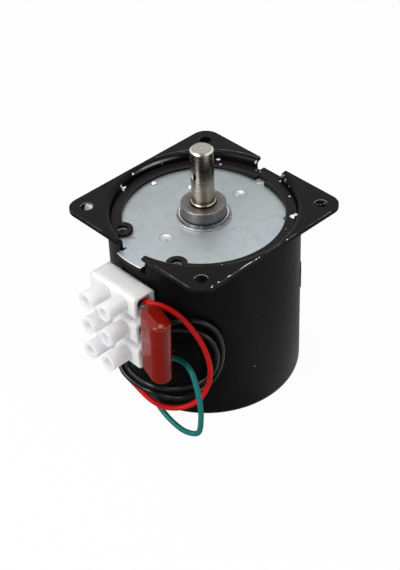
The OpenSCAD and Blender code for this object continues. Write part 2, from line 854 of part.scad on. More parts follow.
// Open clip in the axle's groove, which keeps the rotor down
module rotor_clip() {
    color(steel)
        difference() {
            post(clip_r, clip_z, clip_z + clip_t);
            post(clip_groove_r, clip_z - 1, clip_z + clip_t + 1);
            translate([0, -clip_groove_r * 0.8, clip_z - 1])
                cube([clip_r + 1, clip_groove_r * 1.6, clip_t + 2]);
        }
}

module rotor_washer() {
    color(nylon)
        difference() {
            post(2.6, base_boss_top, rotor_washer_top);
            post(rotor_axle_r, base_boss_top - 1, rotor_washer_top + 1);
        }
}

// Moulded hub that carries the magnet and the pinion
module rotor_hub() {
    color(nylon)
        difference() {
            union() {
                post(4, hub_end, hub_top);
                post(magnet_ir, magnet_end, magnet_top);
                post(spigot_r, hub_top, hub_top + spigot_h);
            }
            post(rotor_bore_r, hub_end - 1, hub_top + spigot_h + 1);
            for (z = [[magnet_end - 1, magnet_end + 9], [magnet_top - 9, magnet_top + 1]])
                difference() {
                    post(magnet_ir - 1.2, z[0], z[1]);
                    post(4, z[0] - 1, z[1] + 1);
                }
        }
}

module rotor_magnet() {
    color(ferrite)
        difference() {
            post(magnet_r, magnet_end, magnet_top);
            post(magnet_ir, magnet_end - 1, magnet_top + 1);
        }
}

module rotor_pinion() {
    color(brass)
        difference() {
            translate([0, 0, hub_top])
                gear(pinion_teeth, first_module, first_wheel_end - hub_top, first_turn);
            post(spigot_r, hub_top - 1, hub_top + spigot_h);
            post(rotor_bore_r, hub_top, first_wheel_end + 1);
        }
}

// Steel plate with claws at its inner edge; up is 1 where the claws point up
module pole_plate(z, up, turn) {
    color(bright_steel)
        difference() {
            union() {
                post(disc_r, z, z + pole_t);
                for (i = [0:pole_count - 1])
                    rotate(turn + i * claw_turn)
                        claw(up > 0 ? z + pole_t / 2 : z - claw_l);
            }
            post(claw_ir, z - claw_l - 2, z + claw_l + 2);
            translate([grommet_x - board_w / 2 - 0.5, -can_r, z - 1])
                cube([board_w + 1, can_r + board_face + board_t + 0.1, pole_t + 2]);
        }
}

// One claw, a little wider than a quarter of the pole pitch, rooted in its plate
module claw(z) {
    half = claw_ir * sin(claw_turn / 7);
    intersection() {
        post(claw_r, z, z + claw_l + pole_t / 2);
        translate([claw_ir * 0.7, -half, z])
            cube([claw_r, 2 * half, claw_l + pole_t / 2]);
    }
}

module upper_pole_plate_top() {
    pole_plate(mid_under - pole_t, -1, 0);
}

module upper_pole_plate_bottom() {
    pole_plate(base_top + stack_h, 1, claw_turn / 2);
}

module lower_pole_plate_top() {
    pole_plate(base_top + stack_h - pole_t, -1, claw_turn / 4);
}

module lower_pole_plate_bottom() {
    pole_plate(base_top, 1, claw_turn * 3 / 4);
}

// Plastic spool between two pole plates
module bobbin(z) {
    color(nylon)
        difference() {
            post(bobbin_r, z, z + bobbin_h);
            post(bobbin_ir, z - 1, z + bobbin_h + 1);
            difference() {
                post(bobbin_r + 1, z + bobbin_wall, z + bobbin_h - bobbin_wall);
                post(winding_ir, z, z + bobbin_h);
            }
        }
}

module upper_bobbin() {
    bobbin(base_top + stack_h + pole_t);
}

module lower_bobbin() {
    bobbin(base_top + pole_t);
}

// Copper winding that fills a bobbin
module coil(z) {
    color(copper)
        difference() {
            post(winding_r, z + bobbin_wall, z + bobbin_h - bobbin_wall);
            post(winding_ir, z, z + bobbin_h);
        }
}

module upper_coil() {
    coil(base_top + stack_h + pole_t);
}

module lower_coil() {
    coil(base_top + pole_t);
}

// Plate on the can's floor, with a boss that holds the rotor's axle
module base_plate() {
    color(zinc)
        difference() {
            union() {
                post(disc_r - foot_ir, can_floor, base_top);
                post(base_boss_r, base_top, base_boss_top);
            }
            post(rotor_axle_r, can_floor - 1, base_boss_top + 1);
        }
}

// Places of the four leads in the grommet
module at_leads() {
    for (sx = [-1, 1], sz = [-1, 1])
        translate([grommet_x + sx * lead_half, 0, -grommet_drop + sz * lead_half])
            children();
}

// Rubber grommet that follows the can's wall on both sides
module lead_grommet() {
    color(black_paint)
        difference() {
            union() {
                difference() {
                    post_y(grommet_d / 2, grommet_x, -grommet_drop, grommet_face, -can_ir);
                    translate([0, 0, -can_h])
                        cylinder(r = can_r, h = can_h);
                }
                intersection() {
                    post_y(grommet_d / 2 - 0.3, grommet_x, -grommet_drop, -can_r, board_face);
                    translate([0, 0, -can_h])
                        cylinder(r = can_ir, h = can_h);
                }
                post_y(grommet_neck_r, grommet_x, -grommet_drop, grommet_face, board_face);
            }
            at_leads()
                post_y(wire_d / 2 + 0.03, 0, 0, grommet_face - 1, board_face + 1);
        }
}

// Board behind the grommet, where the leads meet the windings
module terminal_board() {
    color("#3f6b4a")
        translate([grommet_x - board_w / 2, board_face, -grommet_drop - board_h / 2])
            cube([board_w, board_t, board_h]);
}

module inner_leads() {
    color(black_paint)
        at_leads()
            post_y(wire_d / 2, 0, 0, grommet_face + 0.25, board_face);
}

// White three-pole block, with two screw turrets and one sleeve to a pole
module terminal_block() {
    color(white_plastic)
        difference() {
            union() {
                for (z = pole_z)
                    round_bar(block_d, pole_h, 0.9, sleeve_y, z,
                        block_end_x - block_w, block_end_x);
                for (z = web_z)
                    translate([block_end_x - block_w + 0.4, web_front, z - pole_pitch / 2])
                        cube([block_w - 0.8, block_back - web_front, pole_pitch]);
                for (x = turret_x, z = pole_z)
                    post_y(turret_d / 2, x, z, turret_end, sleeve_y);
            }
            for (z = pole_z) {
                post_x(sleeve_hole_r, sleeve_y, z, block_end_x - block_w - 1, block_end_x + 1);
                for (x = [block_end_x - block_w - 1, sleeve_end_x])
                    round_bar(pocket_w, pocket_h, 1.2, sleeve_y, z, x, x + pocket_l + 1);
                for (x = turret_x)
                    post_y(turret_bore_d / 2, x, z, turret_end - 1, sleeve_y);
            }
        }
}

// Plated brass sleeves that the wires are clamped in
module terminal_sleeves() {
    color(brass)
        for (z = pole_z)
            difference() {
                post_x(sleeve_d / 2, sleeve_y, z, sleeve_end_x - sleeve_l, sleeve_end_x);
                post_x(sleeve_bore / 2, sleeve_y, z, sleeve_end_x - sleeve_l - 1, sleeve_end_x + 1);
                for (x = turret_x)
                    post_y(screw_d / 2 + run_gap, x, z, sleeve_y - sleeve_d, sleeve_y);
            }
}

// Slotted clamp screw number i: the odd ones are on the supply side, from the top down
module terminal_screw(i) {
    x = turret_x[(i + 1) % 2];
    z = pole_z[floor((i - 1) / 2)];
    color(bright_steel)
        difference() {
            union() {
                post_y(screw_d / 2, x, z, screw_head_y, screw_tip);
                post_y(screw_head_d / 2, x, z, screw_head_y - screw_head_h, screw_head_y);
            }
            translate([x - screw_head_d, screw_head_y - screw_head_h - 1, z - 0.3])
                cube([2 * screw_head_d, 1.8, 0.6]);
        }
}

module terminal_screw_1() {
    terminal_screw(1);
}

module terminal_screw_2() {
    terminal_screw(2);
}

module terminal_screw_3() {
    terminal_screw(3);
}

module terminal_screw_4() {
    terminal_screw(4);
}

module terminal_screw_5() {
    terminal_screw(5);
}

module terminal_screw_6() {
    terminal_screw(6);
}

// Pad that bonds the block's flat back to the round wall of the can
module block_pad() {
    color("#8f8b84")
        difference() {
            translate([block_x - pad_half_w, block_back, pole_z[2] - pole_h / 2 + 1])
                cube([2 * pad_half_w, 1.5, pole_z[0] - pole_z[2] + pole_h - 2]);
            translate([0, 0, -can_h])
                cylinder(r = can_r + 0.02, h = can_h, $fn = 360);
        }
}

// Dipped film capacitor, standing beside the block
module capacitor() {
    half = (cap_w - cap_t) / 2;
    color(cap_red)
        difference() {
            translate([cap_at[0], cap_at[1], cap_top - cap_h / 2])
                rotate(cap_lean)
                    rotate(-cap_turn)
                        hull()
                            for (side = [-1, 1])
                                translate([side * half, 0, -cap_h / 2])
                                    rotate_extrude($fn = 32)
                                        polygon(concat([[0, 0]],
                                            arc([cap_t / 2 - cap_edge_r, cap_edge_r],
                                                cap_edge_r, -90, 0, 4),
                                            arc([cap_t / 2 - cap_edge_r, cap_h - cap_edge_r],
                                                cap_edge_r, 0, 90, 4),
                                            [[0, cap_h]]));
            for (z = cap_lead_z)
                post_x(cap_lead_d / 2 + 0.05, cap_lead_y, z, block_end_x, cap_lead_x + 0.05);
        }
}

// Tinned leads from the capacitor into the top and bottom poles
module capacitor_leads() {
    color(bright_steel)
        for (z = cap_lead_z) {
            path = [[cap_lead_x, cap_lead_y, z], [block_end_x - 0.7, cap_lead_y, z],
                [sleeve_end_x - 1.2, strand_y - 0.1, z], [strand_end_x, strand_y - 0.1, z]];
            lead(path, cap_lead_d);
        }
}

// Bare ends of the four leads in the sleeves
module wire_ends() {
    color(copper)
        for (z = strand_z)
            post_x(strand_d / 2, strand_y, z, strand_end_x, red_route[20][0]);
}

module red_wire() {
    color("#d21e2a")
        lead(red_route);
}

module green_wire() {
    color("#12786c")
        lead(green_route);
}

module black_wire_outer() {
    color("#18181a")
        lead(outer_route);
}

module black_wire_inner() {
    color("#1c1c1e")
        lead(inner_route);
}

motor_can();
clamp_ring();
top_plate();
shaft_bush();
thrust_washer();
output_shaft();
output_gear();
first_gear();
second_gear();
first_axle();
second_axle();
spacer_pillars();
mid_plate();
rotor_axle();
rotor_clip();
rotor_washer();
rotor_hub();
rotor_magnet();
rotor_pinion();
upper_pole_plate_top();
upper_pole_plate_bottom();
lower_pole_plate_top();
lower_pole_plate_bottom();
upper_bobbin();
lower_bobbin();
upper_coil();
lower_coil();
base_plate();
lead_grommet();
terminal_board();
inner_leads();
terminal_block();
terminal_sleeves();
terminal_screw_1();
terminal_screw_2();
terminal_screw_3();
terminal_screw_4();
terminal_screw_5();
terminal_screw_6();
block_pad();
capacitor();
capacitor_leads();
wire_ends();
red_wire();
green_wire();
black_wire_outer();
black_wire_inner();
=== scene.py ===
"""Looks of the small AC gear motor: camera, leads, detailed pieces and materials."""

import math

import bmesh
import bpy
from mathutils import Matrix, Vector


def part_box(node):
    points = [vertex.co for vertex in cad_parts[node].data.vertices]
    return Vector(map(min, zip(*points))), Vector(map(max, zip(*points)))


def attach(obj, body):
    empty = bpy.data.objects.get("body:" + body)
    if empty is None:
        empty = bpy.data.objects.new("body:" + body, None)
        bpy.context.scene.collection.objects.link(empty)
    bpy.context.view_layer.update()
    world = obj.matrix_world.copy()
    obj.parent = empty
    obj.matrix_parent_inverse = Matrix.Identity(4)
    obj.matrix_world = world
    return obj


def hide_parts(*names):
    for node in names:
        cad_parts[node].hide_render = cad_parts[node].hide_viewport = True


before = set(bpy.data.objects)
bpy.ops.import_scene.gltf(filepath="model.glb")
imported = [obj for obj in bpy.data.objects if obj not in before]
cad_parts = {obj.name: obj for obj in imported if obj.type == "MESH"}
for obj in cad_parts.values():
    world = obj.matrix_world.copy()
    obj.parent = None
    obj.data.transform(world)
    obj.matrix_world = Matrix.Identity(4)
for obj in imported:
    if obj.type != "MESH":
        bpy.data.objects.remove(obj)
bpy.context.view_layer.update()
scene = bpy.context.scene
MM = 0.001

# Heights of the CAD's faces, in mm above the flange's top
FOOT_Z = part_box("motor_can")[0].z / MM
RING_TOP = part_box("clamp_ring")[1].z / MM
PLATE_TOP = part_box("top_plate")[1].z / MM
SHAFT_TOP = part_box("output_shaft")[1].z / MM
BUSH_STEP_Z = PLATE_TOP + 1.4
BUSH_FOOT_Z = PLATE_TOP + 0.7

# Other sizes of the CAD that the materials follow, in mm and degrees
FLANGE_HOLE_AT = 24.75
FLANGE_HOLE_R = 1.85
RING_INNER_R = 24.6
RING_OUTER_R = 28
MOUTH_LIP_R = 28.28
MOUTH_EDGE_R = 29.84
TAB_ROOT_Y = -28.4
DIMPLE_AT = 15.4
DIMPLE_R = 2.2
BUSH_STEP_R = 7.6
SHAFT_R = 3.5
CROSS_HOLE_Z = 12
CROSS_HOLE_R = 1.25
CROSS_HOLE_TURN = 258

# Level directions: to and from the flange's near corner, square to that, and to the left
TO_CORNER = (0.74, -0.67)
FROM_CORNER = (-0.74, 0.67)
SQUARE_TO_CORNER = (0.674, 0.738)
TO_LEFT = (-0.87, -0.5)

# Camera

CAMERA_AT = Vector((250.718, -231.543, 249.324)) * MM
CAMERA_RIGHT = Vector((0.6925, 0.7208, -0.0312))
CAMERA_UP = Vector((-0.4411, 0.4573, 0.7723))
CAMERA_BACK = CAMERA_RIGHT.cross(CAMERA_UP).normalized()
LENS = 89.15
SENSOR_WIDTH = 36


def make_camera():
    """The photograph's own viewpoint, fitted to the flange and the can."""
    up = CAMERA_BACK.cross(CAMERA_RIGHT).normalized()
    right = up.cross(CAMERA_BACK)
    data = bpy.data.cameras.new("camera")
    data.sensor_width = SENSOR_WIDTH
    data.lens = LENS
    data.clip_start, data.clip_end = 0.01, 10
    cam = bpy.data.objects.new("camera", data)
    turn = Matrix((right, up, CAMERA_BACK)).transposed()
    cam.matrix_world = Matrix.Translation(CAMERA_AT) @ turn.to_4x4()
    scene.collection.objects.link(cam)
    scene.camera = cam


make_camera()

# Node trees


class Graph:
    """A node tree, with short calls for the nodes that are used often."""

    def __init__(self, tree, place="Object"):
        self.tree = tree
        self.place = self.add("ShaderNodeTexCoord").outputs[place]

    def add(self, kind, **values):
        node = self.tree.nodes.new(kind)
        for key, value in values.items():
            setattr(node, key, value)
        return node

    def feed(self, socket, value):
        """Gives a socket a number, a colour of three numbers, or another node's output."""
        if isinstance(value, (int, float)):
            socket.default_value = value
        elif isinstance(value, tuple):
            socket.default_value = (*value, 1)
        else:
            self.tree.links.new(value, socket)

    def math(self, kind, *values):
        node = self.add("ShaderNodeMath", operation=kind)
        for socket, value in zip(node.inputs, values):
            self.feed(socket, value)
        return node.outputs[0]

    def most(self, *values):
        """The largest of several numbers."""
        total = values[0]
        for value in values[1:]:
            total = self.math("MAXIMUM", total, value)
        return total

    def times(self, *values):
        """The product of several numbers."""
        total = values[0]
        for value in values[1:]:
            total = self.math("MULTIPLY", total, value)
        return total

    def mix(self, factor, a, b):
        """Colour a where factor is 0 and b where it is 1."""
        node = self.add("ShaderNodeMix", data_type="RGBA")
        for socket, value in zip((node.inputs[0], node.inputs[6], node.inputs[7]),
                                 (factor, a, b)):
            self.feed(socket, value)
        return node.outputs[2]

    def ramp(self, value, *stops):
        """A colour or grey ramp; stops are (place, colour or grey), at least 1/256 apart."""
        node = self.add("ShaderNodeValToRGB")
        marks = node.color_ramp.elements
        while len(marks) < len(stops):
            marks.new(0.5)
        for mark, (at, colour) in zip(marks, stops):
            mark.position = at
            if isinstance(colour, (int, float)):
                colour = (colour,) * 3
            mark.color = (*colour, 1)
        self.feed(node.inputs["Fac"], value)
        return node.outputs["Color"]

    def spread(self, value, low, high, start, end):
        """From start to end as value goes from low to high."""
        node = self.add("ShaderNodeMapRange")
        for name, number in (("Value", value), ("From Min", low), ("From Max", high),
                             ("To Min", start), ("To Max", end)):
            self.feed(node.inputs[name], number)
        return node.outputs["Result"]

    def vector_math(self, kind, source, *fixed):
        """The number that a vector gives, by itself or with a fixed second vector."""
        node = self.add("ShaderNodeVectorMath", operation=kind)
        self.feed(node.inputs[0], source)
        if fixed:
            node.inputs[1].default_value = fixed
        return node.outputs["Value"]

    def parts(self, vector):
        """The x, y and z of a vector."""
        node = self.add("ShaderNodeSeparateXYZ")
        self.feed(node.inputs[0], vector)
        return node.outputs

    def sees_background(self):
        """1 for rays from the camera or in gloss or glass, and 1 for those in gloss alone."""
        path = self.add("ShaderNodeLightPath").outputs
        gloss = path["Is Glossy Ray"]
        return self.most(path["Is Camera Ray"], gloss, path["Is Transmission Ray"]), gloss

    def coloured(self, kind, colour, strength=None):
        """The output of a shader node with a colour and, if given, a strength."""
        node = self.add(kind)
        self.feed(node.inputs["Color"], colour)
        if strength is not None:
            node.inputs["Strength"].default_value = strength
        return node.outputs[0]

    def surface(self, output, factor, first, second):
        """Mixes two shaders, and gives them to the tree's output."""
        mix = self.add("ShaderNodeMixShader")
        for socket, value in zip(mix.inputs, (factor, first, second)):
            self.feed(socket, value)
        self.feed(self.add(output).inputs["Surface"], mix.outputs[0])


class Shader(Graph):
    """A material round one Principled shader; its lengths are in mm."""

    def __init__(self, name):
        self.material = bpy.data.materials.new(name)
        self.material.use_nodes = True
        super().__init__(self.material.node_tree)
        self.bsdf = self.tree.nodes["Principled BSDF"]
        self.fray = None

    def set(self, **values):
        for key, value in values.items():
            name = key.replace("_", " ").title().replace("Ior", "IOR")
            self.bsdf.inputs[name].default_value = value

    def colour(self, source):
        self.feed(self.bsdf.inputs["Base Color"], source)

    def rough(self, value, low, high):
        """Roughness from low to high as value goes from 0 to 1."""
        self.feed(self.bsdf.inputs["Roughness"], self.spread(value, 0, 1, low, high))

    def bump(self, height, distance, strength):
        node = self.add("ShaderNodeBump")
        node.inputs["Strength"].default_value = strength
        node.inputs["Distance"].default_value = distance * MM
        self.feed(node.inputs["Height"], height)
        self.feed(self.bsdf.inputs["Normal"], node.outputs["Normal"])

    def mapped(self, kind="POINT", **inputs):
        """The place on the object, changed by the inputs of a Mapping node."""
        node = self.add("ShaderNodeMapping", vector_type=kind)
        self.feed(node.inputs["Vector"], self.place)
        for name, value in inputs.items():
            node.inputs[name].default_value = value
        return node.outputs["Vector"]

    def noise(self, scale, detail=3, rough=0.5, stretch=None):
        """Noise whose grains are about 1/scale metres across."""
        node = self.add("ShaderNodeTexNoise")
        for name, number in (("Scale", scale), ("Detail", detail), ("Roughness", rough)):
            node.inputs[name].default_value = number
        source = self.mapped(Scale=stretch) if stretch else self.place
        self.feed(node.inputs["Vector"], source)
        return node.outputs["Fac"]

    def specks(self, scale, size, seed=0.0):
        """Rare small dots: 1 inside a dot and 0 elsewhere."""
        node = self.add("ShaderNodeTexVoronoi")
        node.inputs["Scale"].default_value = scale
        self.feed(node.inputs["Vector"],
                  self.mapped(Location=(seed, seed * 0.7, seed * 1.3)))
        return self.math("LESS_THAN", node.outputs["Distance"], size)

    def spot(self, at, half, turn=0.0, jag=0.7):
        """1 inside an uneven patch: its centre, half sizes, turn in degrees and raggedness."""
        if self.fray is None:
            self.fray = self.noise(1100, 3, 0.6)
        place = self.mapped("TEXTURE", Location=[v * MM for v in at],
                            Rotation=(0, 0, math.radians(turn)),
                            Scale=[v * MM for v in half])
        uneven = self.times(self.math("SUBTRACT", self.fray, 0.5), 2 * jag)
        away = self.math("ADD", self.vector_math("LENGTH", place), uneven)
        return self.math("LESS_THAN", away, 1)

    def radius(self, x=0, y=0):
        """Distance from the upright axis through x, y (mm)."""
        place = self.mapped(Location=(-x * MM, -y * MM, 0), Scale=(1, 1, 0))
        return self.vector_math("LENGTH", place)

    def along(self, dx, dy):
        """Distance from the shaft's axis along a level direction."""
        return self.vector_math("DOT_PRODUCT", self.place, dx, dy, 0)

    def above(self, value, limit):
        """1 where value is over limit."""
        return self.math("GREATER_THAN", value, limit * MM)

    def below(self, value, limit):
        """1 where value is under limit."""
        return self.math("LESS_THAN", value, limit * MM)

    def between(self, value, low, high):
        """1 where value lies between low and high."""
        return self.times(self.above(value, low), self.below(value, high))

    def fade(self, value, low, high, start=0.0, end=1.0):
        """From start to end as value goes from low to high."""
        return self.spread(value, low * MM, high * MM, start, end)


# Materials

# Patches of bare metal on the paint, the last two a painted highlight on the far wall inside the
# left flange hole: centre, half sizes (mm), turn (degrees), raggedness
BARE_AND_HIGHLIGHT_PATCHES = [
    ((21.0, 17.15, -2.6), (1.3, 1.0, 0.9), 40, 0.25),
    ((-26.49, -9.59, -1.23), (0.4, 0.42, 0.42), 17, 0.3),
    ((-25.89, -8.5, -1.85), (0.6, 0.62, 0.5), 17, 0.3),
    ((-26.0, -9.2, -2.35), (0.6, 0.45, 0.5), 17, 0.3),
    ((-26.2, -9.05, -1.95), (0.5, 0.45, 0.45), 17, 0.2),
    ((-16.2, 21.95, -2.1), (0.7, 0.3, 0.35), 47.6, 0.3),
    ((-14.36, 21.2, -2.7), (0.38, 0.34, 0.3), 30, 0.4),
    ((-28.2, -3.17, -0.72), (0.28, 0.5, 0.4)),
    ((13.0, 23.7, -2.7), (0.36, 0.33, 0.3)),
    ((24.04, -16.11, -0.19), (0.25, 0.25, 0.3)),
    ((-5.45, 27.91, -1.0), (0.16, 0.6, 0.6)),
    ((29.3, -25.0, 0), (0.1, 0.6, 0.2), 20),
    ((29.2, -22.3, 0), (0.2, 0.24, 0.2)),
    ((29.45, -18.5, 0), (0.1, 0.7, 0.2)),
    ((29.45, -11.7, 0), (0.1, 2.3, 0.2)),
    ((29.6, -7.7, 0), (0.16, 0.3, 0.2)),
    ((29.62, -6.6, 0), (0.13, 0.25, 0.2)),
    ((29.65, 5.0, -0.1), (0.14, 0.4, 0.3)),
    # The painted highlight on the far wall inside the left flange hole
    ((-26.1, -23.6, -2.1), (0.95, 1.0, 1.6), 40),
    ((-25.3, -23.1, -1.3), (0.9, 0.5, 0.9), 10),
]
# Duller scuffs and burrs, all of them ragged: centre, half sizes (mm), turn (degrees)
SCUFFS = [
    ((-27.05, 7.75, -1.6), (0.3, 0.12, 0.4)),
    ((-26.9, 8.1, -2.25), (0.3, 0.12, 0.42)),
    ((5.4, 27.4, -2.7), (0.5, 0.35, 0.4)),
    ((6.1, 27.9, -0.7), (0.55, 0.4, 0.8)),
    ((7.9, 27.2, -1.2), (0.7, 0.4, 0.5), -20),
    ((10.39, 26.16, -1.42), (0.35, 0.25, 0.3), -20),
    ((23.5, 11.01, -2.7), (0.22, 0.22, 0.3)),
    ((25.37, 10.11, -2.7), (0.2, 0.2, 0.3)),
    ((15.6, 18.6, -2.7), (0.3, 0.25, 0.3)),
    ((-4.0, 26.6, -2.7), (0.35, 0.3, 0.3)),
    ((-2.6, 26.9, -2.7), (0.35, 0.3, 0.3)),
    ((22.94, 25.11, -1.5), (0.5, 0.5, 0.4)),
    ((23.5, 26.1, -1.8), (0.4, 0.4, 0.3)),
    ((24.84, 26.6, -1.0), (0.5, 0.4, 0.35)),
]


def wear_and_highlight_lines(s):
    """1 along lines painted pale on the flange and the mouth: highlight lines on the flange's
    front and left edges and the mouth's back edge, worn paint with its highlight on the flange's
    right edge, and a painted highlight on the far sides of the holes' rims.
    """
    x, y, z = s.parts(s.place)
    right_edge = s.times(s.between(x, 29.48, 29.8), s.between(y, -25.5, 24))
    front_edge = s.times(s.between(y, -29.85, -29.58), s.between(x, 6, 25.5))
    left_edge = s.times(s.between(y, -29.85, -29.4), s.between(x, -29, -12), 0.35)
    mouth_edge = s.times(s.between(s.radius(), MOUTH_EDGE_R - 0.12, MOUTH_EDGE_R + 0.12),
                         s.above(y, 7), s.below(x, -1))
    patchiness = s.ramp(s.noise(260, 3, 0.6), (0.38, 0.0), (0.6, 0.8))
    edges = s.times(s.most(right_edge, front_edge, left_edge, mouth_edge), patchiness)
    back = s.along(*FROM_CORNER)
    rims = []
    for side_x, side_y in ((1, -1), (1, 1), (-1, -1)):
        hole_x, hole_y = side_x * FLANGE_HOLE_AT, side_y * FLANGE_HOLE_AT
        middle = FROM_CORNER[0] * hole_x + FROM_CORNER[1] * hole_y
        rim = s.between(s.radius(hole_x, hole_y), FLANGE_HOLE_R - 0.05, FLANGE_HOLE_R + 0.19)
        rims.append(s.times(rim, s.above(back, middle + 0.2)))
    return s.times(s.above(z, -0.16), s.most(edges, *rims))


def painted_lip_sheen(s):
    """How strongly a painted highlight streak lies along the mouth's round lip, at its back left.
    """
    x, y, z = s.parts(s.place)
    share = s.fade(y, -10, 30)
    length = s.ramp(share, (0.18, 0.0), (0.2, 0.25), (0.262, 0.8), (0.31, 1.0), (0.4, 1.0),
                    (0.495, 0.38), (0.54, 0.18), (0.6, 0.0))
    off = s.math("ABSOLUTE", s.math("SUBTRACT", s.radius(), MOUTH_LIP_R * MM))
    streak = s.fade(off, 0, 0.24, 1, 0)
    uneven = s.ramp(s.noise(500, 3, 0.6), (0.3, 0.7), (0.6, 1.0))
    return s.times(streak, length, s.below(x, 0), s.above(z, -1.4), uneven)


def paint_material():
    """Satin black paint with fine grain, bare chips, worn edges, and painted highlights along its
    edges, the mouth's lip, the ring's inner edge and inside the left flange hole.
    """
    s = Shader("black_paint")
    s.set(specular_ior_level=0.075)
    grain = s.noise(2600, 4, 0.6)
    cloud = s.noise(90, 4, 0.6)
    paint = s.ramp(cloud, (0.3, (0.0035, 0.0034, 0.0036)), (0.7, (0.0058, 0.0056, 0.0057)))
    # The clamp ring is browner, with a painted highlight along its inner edge
    z = s.parts(s.place)[2]
    away = s.radius()
    ring = s.times(s.below(z, RING_TOP + 0.7), s.below(away, RING_OUTER_R))
    paint = s.mix(ring, paint, (0.0108, 0.0099, 0.0093))
    ring_edge = s.times(ring, s.between(away, RING_INNER_R - 0.1, RING_INNER_R + 0.25),
                        s.above(z, RING_TOP - 0.25))
    paint = s.mix(ring_edge, paint, (0.032, 0.031, 0.03))
    # A painted highlight streak on the mouth's lip
    paint = s.mix(painted_lip_sheen(s), paint, (0.46, 0.455, 0.45))
    # Painted highlight lines on the edges and the far sides of the holes' rims, worn paint along
    # the right edge
    paint = s.mix(wear_and_highlight_lines(s), paint, (0.22, 0.215, 0.21))
    scuffs = s.times(s.most(*[s.spot(*patch, jag=1.6) for patch in SCUFFS]), 0.5)
    dust = s.times(s.specks(160, 0.03, 2.2), 0.3)
    paint = s.mix(s.most(scuffs, dust), paint, (0.4, 0.39, 0.4))
    # Bare spots, and a painted highlight inside the left flange hole
    chips_and_highlights = s.most(*[s.spot(*patch) for patch in BARE_AND_HIGHLIGHT_PATCHES])
    dots = s.times(s.specks(300, 0.045), s.math("GREATER_THAN", s.noise(70, 1, 0.5), 0.6))
    s.colour(s.mix(s.most(chips_and_highlights, dots), paint, (0.9, 0.89, 0.87)))
    s.rough(cloud, 0.23, 0.31)
    s.bump(grain, 0.02, 0.3)
    return s.material


def dimpled(s, plate):
    """The plate's colour with its two dimples: a painted shade on the rim, a painted highlight in
    the bowl and a painted shade at the low point.
    """
    for at in (-DIMPLE_AT, DIMPLE_AT):
        away = s.radius(0, at)
        rim = s.times(s.between(away, DIMPLE_R - 0.22, DIMPLE_R + 0.06), 0.35)
        bowl = s.times(s.between(away, 0.55, DIMPLE_R - 0.45),
                       s.ramp(s.noise(600, 3, 0.6), (0.42, 0.1), (0.58, 0.6)))
        low = s.times(s.spot((0.55, at - 0.5, PLATE_TOP - 0.5), (0.42, 0.42, 1)), 0.5)
        plate = s.mix(bowl, plate, (0.78, 0.76, 0.72))
        plate = s.mix(s.most(rim, low), plate, (0.16, 0.16, 0.165))
    return plate


def tab_fronted(s, plate):
    """The plate's colour with its tab's front: a painted highlight on the upper edge over a
    painted shadow on the cut face.
    """
    y, z = s.parts(s.place)[1:3]
    up = s.parts(s.add("ShaderNodeNewGeometry").outputs["Normal"])[2]
    front = s.times(s.math("LESS_THAN", up, 0.93), s.below(y, TAB_ROOT_Y))
    plate = s.mix(front, plate, (0.95, 0.96, 0.97))
    return s.mix(s.times(front, s.below(z, PLATE_TOP - 0.3)), plate, (0.015, 0.015, 0.016))


def zinc_material():
    """Dull zinc plating, blue-grey, with clouds, smudges and tiny dark pits, and painted light
    and shade in its dimples and on its tab's front.
    """
    s = Shader("zinc_plate")
    s.set(metallic=0.9)
    fine = s.noise(420, 5, 0.7)
    plate = s.ramp(s.noise(55, 5, 0.62), (0.25, (0.335, 0.372, 0.377)),
                   (0.5, (0.375, 0.412, 0.417)), (0.8, (0.415, 0.455, 0.465)))
    # Lighter towards the near corner, with brownish smudges and fine darker mottling
    share = s.fade(s.along(*TO_CORNER), -25, 25)
    plate = s.mix(s.ramp(share, (0.3, 0.0), (0.95, 0.8)), plate, (0.45, 0.495, 0.52))
    smudge = s.ramp(s.noise(30, 3, 0.5), (0.56, 0.0), (0.74, 0.4))
    plate = s.mix(smudge, plate, (0.41, 0.39, 0.37))
    plate = s.mix(s.ramp(fine, (0.35, 0.3), (0.5, 0.0)), plate, (0.27, 0.305, 0.31))
    # Painted shade and highlight in the two dimples
    plate = dimpled(s, plate)
    sliver = s.spot((0.7, 23.7, PLATE_TOP), (1.15, 0.16, 0.4), 57, 0.4)
    plate = s.mix(sliver, plate, (0.85, 0.84, 0.82))
    stain = s.times(s.spot((-7.6, -22.6, PLATE_TOP), (1.5, 0.8, 0.5), 30), 0.4)
    plate = s.mix(stain, plate, (0.2, 0.15, 0.11))
    # Painted highlight and shadow on the tab's front
    plate = tab_fronted(s, plate)
    pits = s.times(s.specks(430, 0.085, 3.1),
                   s.math("GREATER_THAN", s.noise(95, 2, 0.5), 0.56))
    s.colour(s.mix(pits, plate, (0.12, 0.13, 0.14)))
    s.rough(fine, 0.44, 0.54)
    s.bump(s.noise(1500, 4, 0.6), 0.01, 0.35)
    return s.material


